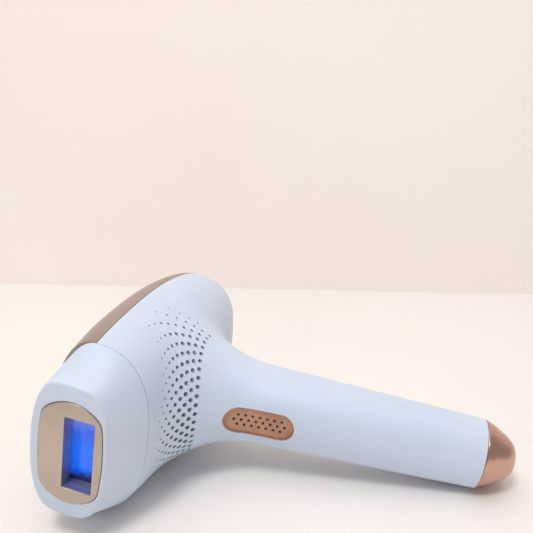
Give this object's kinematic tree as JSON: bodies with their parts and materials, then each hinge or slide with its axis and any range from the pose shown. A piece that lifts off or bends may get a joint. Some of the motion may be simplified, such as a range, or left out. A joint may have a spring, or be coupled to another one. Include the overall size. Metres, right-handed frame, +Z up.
{
  "type": "ipl hair remover",
  "caption": "Pistol-shaped light-pulse hair remover with a pull-off lamp cartridge, a top panel with keys, side vents and a metal-capped handle, lying on its side.",
  "frame": {"origin": "centre of the bounding box on the surface that the device lies on", "axes": "the light window faces -Y, the handle runs towards +X and drops by the resting tilt, +Z is up and lies across the device"},
  "size_m": [0.188, 0.1364, 0.0787],
  "materials": {
    "body": "satin moulded ABS, cool white",
    "top_panel": "satin rose-gold coating on a moulded panel",
    "display_lens": "smoked clear acrylic",
    "key": "rose-gold plated plastic key",
    "contact_plate": "bead-blasted champagne anodised aluminium",
    "bright_metal": "polished or plain aluminium",
    "filter_glass": "coated filter glass, blue in reflection",
    "black_plastic": "glass-filled black plastic",
    "lamp_glass": "clear quartz",
    "brass": "plated brass",
    "steel": "zinc-plated steel",
    "circuit_board": "green solder mask",
    "ferrite": "grey ferrite",
    "winding": "lacquered copper winding",
    "capacitor_sleeve": "dark heat-shrunk sleeve",
    "display": "unlit display module",
    "copper_trim": "polished copper-coloured plating"
  },
  "bodies": {
    "handpiece": {"left_shell": "body", "right_shell": "body", "shell_screws": "steel", "top_panel": "top_panel", "display_lens": "display_lens", "cartridge_socket": "black_plastic", "socket_terminals": "brass", "heat_sink": "bright_metal", "fan_frame": "black_plastic", "fan_pin": "steel", "main_board": "circuit_board", "step_up_transformer": "ferrite", "trigger_coil": "winding", "power_transistors": "black_plastic", "flash_capacitor": "capacitor_sleeve", "control_board": "circuit_board", "display_module": "display", "key_switches": "black_plastic", "flash_switch": "black_plastic", "flash_board": "circuit_board", "intake_grille": "copper_trim", "end_cap": "copper_trim", "power_jack": "black_plastic"},
    "cartridge": {"contact_plate": "contact_plate", "cartridge_housing": "body", "window_sleeve": "bright_metal", "filter_glass": "filter_glass", "lamp_carrier": "black_plastic", "reflector": "bright_metal", "lamp_tube": "lamp_glass", "lamp_ferrules": "bright_metal", "cartridge_lid": "black_plastic", "cartridge_blades": "brass"},
    "level_key": {"level_button": "key"},
    "mode_key": {"mode_button": "key"},
    "fire_key": {"flash_button": "copper_trim"},
    "fan": {"fan_rotor": "black_plastic"}
  },
  "joints": [
    {"name": "cartridge_pull", "type": "slide", "parent": "handpiece", "child": "cartridge", "axis": [0, -1, 0], "range_m": [0, 0.025]},
    {"name": "level_press", "type": "slide", "parent": "handpiece", "child": "level_key", "axis": [0.9871, 0, -0.1599], "range_m": [0, 0.0006], "stiffness_N_per_m": 1500},
    {"name": "mode_press", "type": "slide", "parent": "handpiece", "child": "mode_key", "axis": [0.9871, 0, -0.1599], "range_m": [0, 0.0006], "stiffness_N_per_m": 1500},
    {"name": "fire_press", "type": "slide", "parent": "handpiece", "child": "fire_key", "axis": [0.086, -0.9962, -0.0139], "range_m": [0, 0.001], "stiffness_N_per_m": 1500},
    {"name": "fan_spin", "type": "hinge", "parent": "handpiece", "child": "fan", "pos_m": [-0.06787, -0.0188, 0.03867], "axis": [0, 1, 0], "continuous": true}
  ]
}
